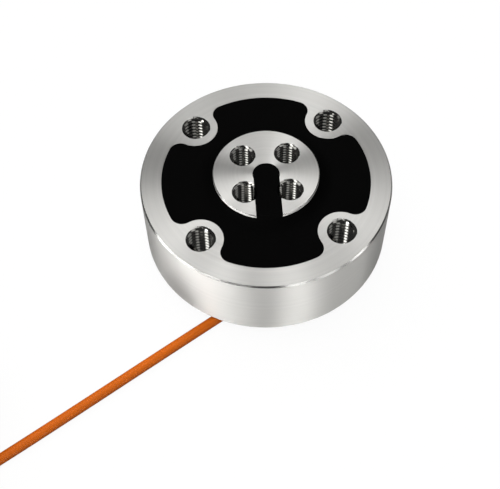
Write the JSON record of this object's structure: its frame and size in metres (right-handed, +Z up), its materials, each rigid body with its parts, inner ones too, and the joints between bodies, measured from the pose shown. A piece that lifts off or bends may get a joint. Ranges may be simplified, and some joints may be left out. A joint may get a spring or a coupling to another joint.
{
  "type": "disc torque sensor",
  "caption": "Flat disc reaction torque sensor: steel ring and hub joined by spokes under black potting, tapped holes on two circles, and a thin orange cable with bare leads.",
  "frame": {"origin": "centre of the hub's underside, which is the face that the sensor stands on", "axes": "+Z up the sensor's axis, -Y towards the open end of the hub's keyhole slot"},
  "size_m": [0.1231, 0.0859, 0.0209],
  "materials": {
    "machined_stainless": "turned and milled, left bare",
    "black_potting": "cast and cured, satin",
    "gauge_film": "amber film with an etched foil grid",
    "terminal_board": "glass laminate with tinned pads",
    "copper_wire": "enamelled copper",
    "orange_silicone": "extruded, satin",
    "black_sleeve": "shrunk tubing",
    "black_strap": "woven hook-and-loop strap",
    "tinned_copper": "tinned strands",
    "core_red": "extruded insulation",
    "core_black": "extruded insulation",
    "core_green": "extruded insulation",
    "core_white": "extruded insulation"
  },
  "bodies": {
    "root": {"sensor_body": "machined_stainless", "potting": "black_potting", "cable_sleeve": "black_sleeve", "cable": "orange_silicone", "cable_tail": "orange_silicone", "cable_coil": "orange_silicone", "coil_tie_1": "black_strap", "coil_tie_2": "black_strap", "lead_tips": "tinned_copper", "strain_gauge_1": "gauge_film", "gauge_wire_1": "copper_wire", "strain_gauge_2": "gauge_film", "gauge_wire_2": "copper_wire", "strain_gauge_3": "gauge_film", "gauge_wire_3": "copper_wire", "strain_gauge_4": "gauge_film", "gauge_wire_4": "copper_wire", "strain_gauge_5": "gauge_film", "gauge_wire_5": "copper_wire", "strain_gauge_6": "gauge_film", "gauge_wire_6": "copper_wire", "strain_gauge_7": "gauge_film", "gauge_wire_7": "copper_wire", "strain_gauge_8": "gauge_film", "gauge_wire_8": "copper_wire", "gauge_jumper_1": "copper_wire", "solder_terminal_1": "terminal_board", "gauge_jumper_2": "copper_wire", "solder_terminal_2": "terminal_board", "gauge_jumper_3": "copper_wire", "solder_terminal_3": "terminal_board", "gauge_jumper_4": "copper_wire", "solder_terminal_4": "terminal_board", "inner_lead_red": "core_red", "lead_red": "core_red", "inner_lead_black": "core_black", "lead_black": "core_black", "inner_lead_green": "core_green", "lead_green": "core_green", "inner_lead_white": "core_white", "lead_white": "core_white"}
  },
  "joints": []
}
